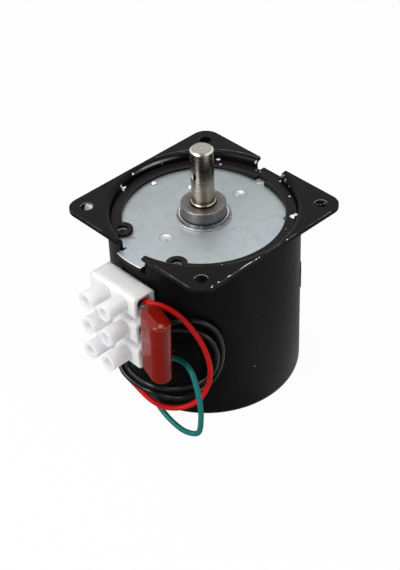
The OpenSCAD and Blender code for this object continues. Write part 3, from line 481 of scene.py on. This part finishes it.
def bush_foot(s, z, away):
    """The colour below the bush's step: a rim with painted highlights at its sides, a painted
    shade in the gap, then the swaged foot.
    """
    across = s.math("ABSOLUTE", s.along(*SQUARE_TO_CORNER))
    glints = s.ramp(s.noise(900, 2, 0.5), (0.5, 0.0), (0.58, 0.25))
    # Painted highlights on the step's rim, strongest at its sides
    shine = s.times(s.between(away, BUSH_STEP_R - 0.4, BUSH_STEP_R + 0.02),
                    s.most(s.fade(across, 3.92, 7.84), glints))
    step = s.mix(shine, (0.04, 0.04, 0.042), (0.75, 0.74, 0.73))
    foot = s.mix(s.ramp(s.noise(900, 3, 0.7), (0.4, 0.0), (0.6, 1.0)), (0.13, 0.138, 0.146),
                 (0.3, 0.31, 0.32))
    outer = s.mix(s.above(z, BUSH_STEP_Z - 0.1), foot, step)
    # Painted shade in the gap outside the step
    gap = s.times(s.between(away, BUSH_STEP_R + 0.06, BUSH_STEP_R + 0.2),
                  s.below(z, BUSH_FOOT_Z + 0.1))
    outer = s.mix(gap, outer, (0.05, 0.05, 0.052))
    # The foot ends in a painted highlight along its edge, brighter on its left
    white = s.times(s.between(z, BUSH_FOOT_Z - 0.54, BUSH_FOOT_Z - 0.02),
                    s.above(away, BUSH_STEP_R + 0.6),
                    s.fade(s.along(*TO_LEFT), 0, 4, 0.35, 0.95))
    return s.mix(white, outer, (0.95, 0.95, 0.97))


def sinter_material():
    """Grey sintered steel, oiled round the shaft, with the plate's metal swaged on its foot and
    painted light and shade below its step.
    """
    s = Shader("sintered_steel")
    s.set(metallic=0.85)
    grain = s.noise(2400, 3, 0.7)
    cloud = s.noise(420, 4, 0.6)
    away = s.radius()
    z = s.parts(s.place)[2]
    steel = s.ramp(cloud, (0.3, (0.17, 0.168, 0.172)), (0.7, (0.265, 0.262, 0.268)))
    steel = s.mix(s.fade(away, 3.92, 7.84, 0.85, 0), steel, (0.10, 0.075, 0.058))
    steel = s.mix(s.ramp(grain, (0.36, 0.8), (0.5, 0.0)), steel, (0.05, 0.05, 0.052))
    s.colour(s.mix(s.below(z, BUSH_STEP_Z + 0.2), steel, bush_foot(s, z, away)))
    s.rough(cloud, 0.32, 0.46)
    s.bump(grain, 0.03, 0.6)
    return s.material


def cross_hole(s, away):
    """1 in the cross hole's mouth, painted dark as shade, 1 in its lit part, a painted highlight,
    and 1 on the lip beside it, painted dark as shade.
    """
    y, z = s.parts(s.place)[1:3]
    turn = math.radians(CROSS_HOLE_TURN)
    aside = s.along(math.sin(turn), -math.cos(turn))
    rise = s.math("SUBTRACT", z, CROSS_HOLE_Z * MM)
    reach = s.math("SQRT", s.math("ADD", s.times(aside, aside), s.times(rise, rise)))
    front = s.below(y, 0)
    mouth = s.times(s.below(reach, CROSS_HOLE_R + 0.05), front,
                    s.below(away, SHAFT_R - 0.04))
    lit = s.times(mouth, s.below(s.along(*SQUARE_TO_CORNER), -2.75))
    lip = s.times(s.between(reach, CROSS_HOLE_R - 0.05, CROSS_HOLE_R + 0.35),
                  s.below(aside, -0.6), front, s.above(away, SHAFT_R - 0.1))
    return mouth, lit, lip


def end_face(s, away):
    """The colour of the shaft's end: turned rings and a bright centre."""
    turned = s.most(s.between(away, 1.05, 1.2), s.between(away, 2.35, 2.5),
                    s.times(s.between(away, 0.3, 0.45), 0.6))
    face = s.mix(s.times(turned, 0.6), (0.41, 0.385, 0.345), (0.2, 0.18, 0.15))
    return s.mix(s.below(away, 0.22), face, (0.8, 0.78, 0.74))


def shaft_material():
    """Turned steel with a warm tint, fine rings round it and faint stains, and painted light and
    shade at its cross hole.
    """
    s = Shader("shaft_steel")
    away = s.radius()
    z = s.parts(s.place)[2]
    rings = s.noise(1.0, 2, 0.6, stretch=(40, 40, 2600))
    fine = s.noise(1.0, 3, 0.6, stretch=(90, 90, 9000))
    stain = s.noise(300, 4, 0.6)
    steel = s.ramp(stain, (0.3, (0.36, 0.305, 0.245)), (0.62, (0.55, 0.5, 0.435)))
    steel = s.mix(s.ramp(rings, (0.36, 0.7), (0.5, 0.0)), steel, (0.2, 0.165, 0.12))
    steel = s.mix(s.ramp(fine, (0.4, 0.4), (0.5, 0.0)), steel, (0.16, 0.13, 0.1))
    bevel = s.between(z, SHAFT_TOP - 0.62, SHAFT_TOP - 0.05)
    steel = s.mix(bevel, steel, (0.66, 0.62, 0.56))
    mouth, lit_mouth, lip = cross_hole(s, away)
    # Painted shade in the cross hole's mouth and on the lip beside it
    steel = s.mix(s.most(lip, mouth), steel, (0.03, 0.026, 0.022))
    # Browner towards the bush, and brown on the journal in it
    steel = s.mix(s.fade(z, 1, 11, 0.5, 0), steel, (0.31, 0.25, 0.185))
    # Painted highlight on the cross hole's lit part
    steel = s.mix(lit_mouth, steel, (0.95, 0.95, 0.94))
    steel = s.mix(s.times(s.below(z, 2), 0.85), steel, (0.075, 0.045, 0.027))
    s.colour(s.mix(s.above(z, SHAFT_TOP - 0.1), steel, end_face(s, away)))
    s.feed(s.bsdf.inputs["Metallic"], s.math("SUBTRACT", 1, lit_mouth))
    s.rough(fine, 0.16, 0.3)
    s.bump(fine, 0.008, 0.3)
    # Turned along rings: sharp across the shaft and smeared along it
    tangent = s.add("ShaderNodeTangent", direction_type="RADIAL", axis="Z")
    s.feed(s.bsdf.inputs["Tangent"], tangent.outputs[0])
    s.set(anisotropic=0.6)
    return s.material


def metal_material(name, colour, dark, low, high, grain=900):
    """Plain machined or plated metal with fine marks."""
    s = Shader(name)
    s.set(metallic=1.0)
    marks = s.noise(grain, 4, 0.65)
    s.colour(s.mix(s.ramp(marks, (0.35, 0.8), (0.6, 0.0)), colour, dark))
    s.rough(marks, low, high)
    s.bump(marks, 0.01, 0.3)
    return s.material


def plastic_material(name, colour, shade, low, high, grain=1400, depth=0.01, milky=0.0,
                     gloss=0.4):
    """Moulded plastic with slight colour drift and a fine skin."""
    s = Shader(name)
    s.set(specular_ior_level=gloss)
    if milky:
        s.set(subsurface_weight=milky, subsurface_scale=1.0,
              subsurface_radius=(0.0038, 0.0038, 0.0042))
    s.colour(s.mix(s.noise(140, 3, 0.5), colour, shade))
    s.rough(s.noise(500, 3, 0.6), low, high)
    s.bump(s.noise(grain, 3, 0.6), depth, 0.4)
    return s.material


def lacquer_material():
    """The capacitor's dipped coat: deep red and glossy."""
    s = Shader("capacitor_lacquer")
    s.set(specular_ior_level=0.33)
    drift = s.noise(120, 3, 0.5)
    coat = s.ramp(drift, (0.3, (0.175, 0.0055, 0.0018)), (0.7, (0.215, 0.007, 0.0022)))
    s.colour(s.mix(s.specks(420, 0.09, 5.0), coat, (0.14, 0.006, 0.003)))
    s.rough(drift, 0.08, 0.14)
    s.bump(s.noise(160, 2, 0.5), 0.04, 0.15)
    return s.material


PAINT = paint_material()
ZINC = zinc_material()
SINTER = sinter_material()
SHAFT = shaft_material()
LACQUER = lacquer_material()
BRIGHT = metal_material("bright_steel", (0.72, 0.71, 0.69), (0.45, 0.45, 0.45), 0.25, 0.42)
PILLAR = metal_material("pillar_steel", (0.16, 0.16, 0.165), (0.07, 0.07, 0.07), 0.4, 0.55)
STAKED = metal_material("staked_head", (0.93, 0.93, 0.92), (0.8, 0.8, 0.8), 0.4, 0.55)
BRASS = metal_material("gear_brass", (0.62, 0.44, 0.17), (0.4, 0.27, 0.1), 0.22, 0.42)
TINNED = metal_material("tinned_brass", (0.66, 0.63, 0.58), (0.45, 0.4, 0.33), 0.25, 0.42)
COPPER = metal_material("copper_wire", (0.72, 0.3, 0.12), (0.4, 0.13, 0.05), 0.25, 0.45, 5000)
FERRITE = metal_material("ferrite", (0.05, 0.047, 0.045), (0.03, 0.028, 0.027), 0.45, 0.6)
BLOCK = plastic_material("block_nylon", (0.93, 0.925, 0.95), (0.89, 0.89, 0.925),
                         0.4, 0.55, milky=1.0)
NYLON = plastic_material("white_nylon", (0.75, 0.73, 0.66), (0.68, 0.66, 0.6), 0.35, 0.5)
BOARD = plastic_material("board", (0.05, 0.14, 0.07), (0.04, 0.11, 0.055), 0.4, 0.55)
FOAM = plastic_material("bond_pad", (0.3, 0.29, 0.27), (0.22, 0.21, 0.2), 0.8, 0.95, 3000, 0.1)
RUBBER = plastic_material("black_rubber", (0.012, 0.012, 0.012), (0.018, 0.018, 0.018),
                          0.5, 0.65)
RED = plastic_material("red_insulation", (0.58, 0.0085, 0.009), (0.48, 0.007, 0.0075),
                       0.3, 0.42, gloss=0.12)
GREEN = plastic_material("green_insulation", (0.008, 0.175, 0.158), (0.006, 0.15, 0.137),
                         0.3, 0.42, gloss=0.2)
BLACK = plastic_material("black_insulation", (0.0065, 0.0065, 0.007), (0.009, 0.009, 0.0095),
                         0.14, 0.24, gloss=0.36)

# Pieces


def show(obj, body, material):
    """Puts a detailed piece into the scene, on its body and with its material."""
    obj.data.materials.append(material)
    scene.collection.objects.link(obj)
    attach(obj, body)


def smooth_mesh(name, bm):
    """A mesh with smooth faces, made of a bmesh that isn't needed any more."""
    mesh = bpy.data.meshes.new(name)
    bm.to_mesh(mesh)
    bm.free()
    for face in mesh.polygons:
        face.use_smooth = True
    return mesh


# How near points are merged (m), and up to which angle faces are flat, from which an edge
# is broken, and from which it shades as a crease (degrees)
MERGE_WITHIN = 1e-6
FLAT_ANGLE = 0.25
BROKEN_ANGLE = 28
CREASE_ANGLE = 40


def refined(node, body, material, slot, width):
    """A copy of a CAD node whose sharp edges are broken like on the real piece."""
    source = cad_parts[node]
    bm = bmesh.new()
    bm.from_mesh(source.data)
    bm.transform(source.matrix_world)
    bmesh.ops.remove_doubles(bm, verts=bm.verts, dist=MERGE_WITHIN)
    bmesh.ops.dissolve_limit(bm, angle_limit=math.radians(FLAT_ANGLE), verts=bm.verts,
                             edges=bm.edges, use_dissolve_boundaries=False)
    sharp = [edge for edge in bm.edges if len(edge.link_faces) == 2
             and edge.calc_face_angle(0) > math.radians(BROKEN_ANGLE)]
    bmesh.ops.bevel(bm, geom=sharp, offset=width * MM, offset_type="OFFSET", segments=3,
                    profile=0.5, affect="EDGES", clamp_overlap=True, loop_slide=True)
    mesh = smooth_mesh(node + "_shape", bm)
    mesh.set_sharp_from_angle(angle=math.radians(CREASE_ANGLE))
    piece = bpy.data.objects.new(node + "_piece", mesh)
    show(piece, body, material)
    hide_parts(node)
    even = piece.modifiers.new("even_faces", "WEIGHTED_NORMAL")
    even.keep_sharp = True


def lofted(rings, placing):
    """A closed form through rings of points in mm, then placed and scaled to metres."""
    bm = bmesh.new()
    loops = [[bm.verts.new(point) for point in ring] for ring in rings]
    for first, second in zip(loops, loops[1:]):
        for i in range(len(first)):
            j = (i + 1) % len(first)
            bm.faces.new((first[i], second[i], second[j], first[j]))
    bm.faces.new(loops[0])
    bm.faces.new(reversed(loops[-1]))
    bm.transform(placing)
    bm.transform(Matrix.Scale(MM, 4))
    bmesh.ops.recalc_face_normals(bm, faces=bm.faces)
    return bm


# The capacitor's middle and size (mm), and its turns round x, y and z (degrees)
CAPACITOR_AT = (16.8, -36.0, -22.35)
CAPACITOR_SIZE = (11.9, 6.5, 22.2)
CAPACITOR_TURN = (-0.9, 1.4, -16.3)
CAPACITOR_ARC_STEPS = 28
# Inset from the side and drop from the top, from the plateau down to the foot
CAPACITOR_PROFILE = [(2.1, 0), (1.85, 0.01), (1.62, 0.05), (1.42, 0.13), (1.26, 0.23),
                     (1.12, 0.3), (0.98, 0.33), (0.84, 0.34), (0.68, 0.38), (0.5, 0.48),
                     (0.35, 0.62), (0.22, 0.8), (0.11, 1.03), (0.03, 1.3), (0, 1.6),
                     (0, 20.9), (0.05, 21.3), (0.2, 21.66), (0.45, 21.95), (0.8, 22.13),
                     (1.2, 22.2)]


def make_capacitor():
    """The dipped film capacitor: a capsule section with a soft double shoulder."""
    width, thick, height = CAPACITOR_SIZE
    half = (width - thick) / 2
    rings = []
    for inset, drop in CAPACITOR_PROFILE:
        r = thick / 2 - inset
        ring = []
        for side, start in ((1, -90), (-1, 90)):
            for i in range(CAPACITOR_ARC_STEPS + 1):
                a = math.radians(start + 180 * i / CAPACITOR_ARC_STEPS)
                ring.append((side * half + r * math.cos(a), r * math.sin(a),
                             height / 2 - drop))
        rings.append(ring)
    turn_x, turn_y, turn_z = (Matrix.Rotation(math.radians(turn), 4, axis)
                              for turn, axis in zip(CAPACITOR_TURN, "XYZ"))
    placing = Matrix.Translation(CAPACITOR_AT) @ turn_y @ turn_x @ turn_z
    mesh = smooth_mesh("capacitor_shape", lofted(rings, placing))
    piece = bpy.data.objects.new("capacitor_piece", mesh)
    show(piece, "housing", LACQUER)
    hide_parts("capacitor")


STAKED_SIDES = 14
# Shares of a staked head's radius and height, from its foot to its top
STAKED_PROFILE = [(1, 0), (0.96, 0.35), (0.8, 0.75), (0.45, 0.97)]


def make_staked_head(name, x, y, r, high):
    """The hammered end of a pin on the top plate: a low, uneven dome."""
    rings = []
    for share, lift in STAKED_PROFILE:
        ring = []
        for i in range(STAKED_SIDES):
            a = 2 * math.pi * i / STAKED_SIDES
            wobble = 1 + 0.07 * math.sin(3 * a + x) + 0.05 * math.sin(5 * a + y)
            ring.append((r * share * wobble * math.cos(a), r * share * wobble * math.sin(a),
                         high * lift))
        rings.append(ring)
    mesh = smooth_mesh(name, lofted(rings, Matrix.Translation((x, y, PLATE_TOP))))
    show(bpy.data.objects.new(name, mesh), "housing", STAKED)


def make_spur():
    """The torn sliver of metal at the corner of the flange's front notch."""
    mesh = bpy.data.meshes.new("notch_spur")
    points = [(5.45, -29.9, -0.3), (5.95, -29.9, -0.3), (5.9, -29.55, -0.3),
              (5.5, -29.5, -0.3), (5.5, -29.85, 0.35), (5.72, -29.8, 0.3), (5.5, -29.7, 0.8)]
    mesh.from_pydata([Vector(p) * MM for p in points], [],
                     [(0, 1, 5, 4), (1, 2, 5), (2, 3, 6, 5), (3, 0, 4, 6), (4, 5, 6),
                      (3, 2, 1, 0)])
    show(bpy.data.objects.new("notch_spur", mesh), "housing", STAKED)


make_capacitor()
make_spur()
make_staked_head("left_pillar_head", -23.09, 0.77, 0.95, 0.55)
make_staked_head("second_axle_head", -13.3, 7.2, 0.95, 0.5)

# Each refined node: its body, material, slot and width of broken edges (mm)
REFINED = {
    "motor_can": ("housing", PAINT, "can_paint", 0.15),
    "clamp_ring": ("housing", PAINT, "can_paint", 0.18),
    "top_plate": ("housing", ZINC, "zinc_plate", 0.1),
    "shaft_bush": ("housing", SINTER, "sintered_steel", 0.08),
    "output_shaft": ("output", SHAFT, "shaft_steel", 0.06),
    "terminal_block": ("housing", BLOCK, "white_plastic", 0.12),
    "terminal_sleeves": ("housing", TINNED, "plated_brass", 0.08),
    "lead_grommet": ("housing", RUBBER, "black_rubber", 0.2),
    "spacer_pillars": ("housing", PILLAR, "bright_steel", 0.1),
    "second_axle": ("housing", BRIGHT, "bright_steel", 0.07),
    "block_pad": ("housing", FOAM, "grey_foam", 0.1),
}

for piece_node, piece_facts in REFINED.items():
    refined(piece_node, *piece_facts)

# Leads

WIRE_R = 0.85
ROUTE_STEPS = 6
# Each lead: its material, slot, CAD node and the points of its route (mm)
ROUTES = {
    "red_lead": (RED, "red_insulation", "red_wire", [
        (-2.6, -30.6, -42.3), (-2.4, -32.6, -42.7), (-1.7, -34.1, -44.2),
        (0, -34.7, -46.1), (2.9, -34.5, -47.5), (6.5, -34.4, -49), (10.9, -34.4, -49.8),
        (14.9, -32.6, -51.2), (19.1, -29.1, -50.8), (22.6, -25.9, -47.6),
        (24.4, -23.5, -42.3), (24.9, -22.7, -36.2), (24.3, -23.2, -30.3),
        (23, -24.4, -24.9), (21.1, -25.8, -20.4), (19, -27.3, -16.8),
        (16.6, -28.8, -14.3), (14.1, -30.3, -13), (11.8, -31.6, -12.6),
        (9.6, -32.4, -12.6), (7.5, -32.4, -12.6)]),
    "green_lead": (GREEN, "green_insulation", "green_wire", [
        (-0.4, -30.6, -42.3), (-0.1, -32.5, -42.6), (1.1, -33.9, -43.7),
        (3.4, -34.3, -44.6), (5.9, -33.6, -45.6), (7.8, -32.6, -47.6),
        (9.2, -32.1, -50.8), (12.2, -31.9, -54.4), (17.2, -32.1, -56.1),
        (22.9, -32.1, -56.3), (28, -31.5, -53.8), (29, -31, -48), (28.2, -30.4, -42.3),
        (26.5, -29.9, -37.2), (24, -29.2, -33.6), (20.2, -28.4, -32.6),
        (16.6, -28.5, -32.9), (13.8, -29.9, -33.1), (11.7, -31.4, -33.1),
        (9.5, -32.4, -33.1), (7.5, -32.4, -33.1)]),
    "black_lead_outer": (BLACK, "black_insulation", "black_wire_outer", [
        (-2.6, -30.6, -40.1), (-2.6, -32.8, -40.2), (-2, -34.9, -41.2),
        (-0.2, -36, -42.9), (2.7, -36.3, -44.1), (6.7, -36.2, -44.6),
        (11.4, -35.6, -44.6), (15.2, -33.2, -45.8), (17.8, -28.6, -48),
        (20.5, -23.6, -47), (23.2, -19.9, -42.3), (24.7, -18.1, -36.3),
        (25, -17.7, -30), (24.2, -18.7, -24.3), (22, -21.2, -20.5),
        (18.8, -24.3, -19.2), (16, -27.1, -19.6), (13.8, -29.5, -20.5),
        (11.8, -31.4, -21.6), (9.7, -32.4, -22), (7.5, -32.4, -22)]),
    "black_lead_inner": (BLACK, "black_insulation", "black_wire_inner", [
        (-0.4, -30.6, -40.1), (-0.3, -32.4, -40.1), (0.4, -34.2, -40.5),
        (2.3, -35.5, -41.1), (5, -35.8, -41.8), (8.2, -35.6, -42.3),
        (12.1, -34.9, -42.5), (15.4, -32.4, -43.2), (17.6, -28.3, -44.3),
        (20.6, -24.3, -43.4), (23.4, -21.4, -40.1), (24.8, -20, -35.1),
        (24.7, -19.9, -29.9), (23.1, -21, -25.8), (20.1, -23.3, -23.5),
        (17.1, -25.8, -22.9), (14.8, -28.1, -23), (13, -30.3, -23.5),
        (11.2, -31.8, -23.8), (9.3, -32.4, -23.8), (7.5, -32.4, -23.8)]),
}


def smooth_route(points):
    """Points of one smooth curve through all of points."""
    knots = [Vector(p) for p in points]
    knots = [2 * knots[0] - knots[1], *knots, 2 * knots[-1] - knots[-2]]
    curve = []
    for a, b, c, d in zip(knots, knots[1:], knots[2:], knots[3:]):
        for i in range(ROUTE_STEPS):
            t = i / ROUTE_STEPS
            curve.append(0.5 * (2 * b + (c - a) * t + (2 * a - 5 * b + 4 * c - d) * t * t
                                + (3 * b - a - 3 * c + d) * t ** 3))
    return curve + [knots[-2]]


def make_lead(name, material, slot, node, points):
    """A free lead from the grommet round to the terminal block."""
    line = [p * MM for p in smooth_route(points)]
    data = bpy.data.curves.new(name, "CURVE")
    data.dimensions = "3D"
    data.bevel_depth = WIRE_R * MM
    data.bevel_resolution = 8
    data.use_fill_caps = True
    spline = data.splines.new("POLY")
    spline.points.add(len(line) - 1)
    for mark, p in zip(spline.points, line):
        mark.co = (*p, 1)
    spline.use_smooth = True
    lead = bpy.data.objects.new(name, data)
    show(lead, "housing", material)
    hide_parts(node)


for lead_name, lead_facts in ROUTES.items():
    make_lead(lead_name, *lead_facts)

# Materials of the CAD nodes, shown and replaced ones

NODE_MATERIALS = {
    "thrust_washer": BRIGHT, "output_gear": BRASS, "first_gear": NYLON,
    "second_gear": BRASS, "first_axle": BRIGHT, "mid_plate": ZINC,
    "rotor_axle": BRIGHT, "rotor_clip": BRIGHT, "rotor_washer": NYLON,
    "rotor_hub": NYLON, "rotor_magnet": FERRITE, "rotor_pinion": BRASS,
    "upper_pole_plate_top": ZINC, "upper_pole_plate_bottom": ZINC,
    "lower_pole_plate_top": ZINC, "lower_pole_plate_bottom": ZINC,
    "upper_bobbin": NYLON, "lower_bobbin": NYLON, "upper_coil": COPPER,
    "lower_coil": COPPER, "base_plate": ZINC, "terminal_board": BOARD,
    "inner_leads": BLACK, "capacitor_leads": BRIGHT, "wire_ends": COPPER,
    "capacitor": LACQUER,
    **{f"terminal_screw_{i}": BRIGHT for i in range(1, 7)},
    **{node: material for node, (body, material, slot, width) in REFINED.items()},
    **{node: material for material, slot, node, points in ROUTES.values()},
}

for node_name, node_material in NODE_MATERIALS.items():
    node_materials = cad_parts[node_name].data.materials
    node_materials.clear()
    node_materials.append(node_material)

# Floor and lights

# The floor's height and half width (mm), and the camera's turn round the shaft (degrees)
FLOOR_Z = FOOT_Z - 0.02
FLOOR_HALF = 1600
CAMERA_TURN = -42.4
# How bright the studio's floor is in the gloss, by the turn from the camera's side (degrees)
ROOM_TONES = [(-180, 0.25), (-100, 0.18), (-60, 0.14), (-30, 0.06), (-5, 0.18), (20, 0.52),
              (45, 0.85), (72, 0.58), (98, 0.36), (125, 0.3), (180, 0.3)]


def floor_material():
    """White where it is seen, with a faint shadow, and in the gloss the studio's tones."""
    material = bpy.data.materials.new("floor")
    material.use_nodes = True
    material.node_tree.nodes.clear()
    graph = Graph(material.node_tree)
    x, y = graph.parts(graph.place)[:2]
    turn = graph.math("SUBTRACT", graph.math("ARCTAN2", y, x), math.radians(CAMERA_TURN))
    turn = graph.math("WRAP", turn, math.pi, -math.pi)
    share = graph.spread(turn, -math.pi, math.pi, 0, 1)
    near = graph.ramp(share, *[(a / 360 + 0.5, grey) for a, grey in ROOM_TONES])
    away = graph.vector_math("LENGTH", graph.place)
    tone = graph.most(near, graph.ramp(away, (0.12, 0.0), (0.26, 1.0)))
    seen, in_gloss = graph.sees_background()
    lit = graph.coloured("ShaderNodeBsdfDiffuse", (0.8, 0.8, 0.8))
    glow = graph.coloured("ShaderNodeEmission", graph.mix(in_gloss, (1, 1, 1), tone))
    graph.surface("ShaderNodeOutputMaterial", graph.times(seen, 0.96), lit, glow)
    return material


def make_floor():
    """A pale floor under the can, which whitens away from it."""
    mesh = bpy.data.meshes.new("floor")
    corners = [(side_x * FLOOR_HALF, side_y * FLOOR_HALF, FLOOR_Z)
               for side_x, side_y in ((-1, -1), (1, -1), (1, 1), (-1, 1))]
    mesh.from_pydata([Vector(corner) * MM for corner in corners], [], [(0, 1, 2, 3)])
    floor = bpy.data.objects.new("floor", mesh)
    scene.collection.objects.link(floor)
    mesh.materials.append(floor_material())


def make_world():
    """White where it is seen, softer as a light, and dark in the gloss round the camera."""
    world = bpy.data.worlds.new("studio")
    world.use_nodes = True
    world.node_tree.nodes.clear()
    graph = Graph(world.node_tree, "Generated")
    facing = graph.vector_math("DOT_PRODUCT", graph.place, *CAMERA_BACK)
    dim = graph.ramp(facing, (0.82, 1.0), (0.93, 0.06))
    total, in_gloss = graph.sees_background()
    seen = graph.coloured("ShaderNodeBackground", graph.mix(in_gloss, (1, 1, 1), dim))
    fill = graph.coloured("ShaderNodeBackground", (0.98, 0.985, 1), 0.35)
    graph.surface("ShaderNodeOutputWorld", total, fill, seen)
    scene.world = world


# Each lamp: its place, the point it shines at and its two sizes (m), and its power (W)
LAMPS = {
    "key_lamp": ((-0.06, -0.54, 0.36), (0, 0, -0.02), (0.42, 0.42), 3.1),
    "top_lamp": ((-0.02, 0.03, 0.6), (0, 0, 0), (0.15, 0.15), 1.15),
    "side_lamp": ((0.55, 0.1, 0.3), (0, 0, -0.02), (0.2, 0.3), 0.35),
}


def make_lamp(name, place, target, size, power):
    """A rectangular lamp that shines at its target."""
    data = bpy.data.lights.new(name, "AREA")
    data.shape = "RECTANGLE"
    data.size, data.size_y = size
    data.energy = power
    lamp = bpy.data.objects.new(name, data)
    lamp.location = place
    aim = Vector(target) - Vector(place)
    lamp.rotation_euler = aim.to_track_quat("-Z", "Y").to_euler()
    scene.collection.objects.link(lamp)


make_floor()
make_world()
for lamp_name, lamp_facts in LAMPS.items():
    make_lamp(lamp_name, *lamp_facts)
scene.view_settings.view_transform = "Standard"
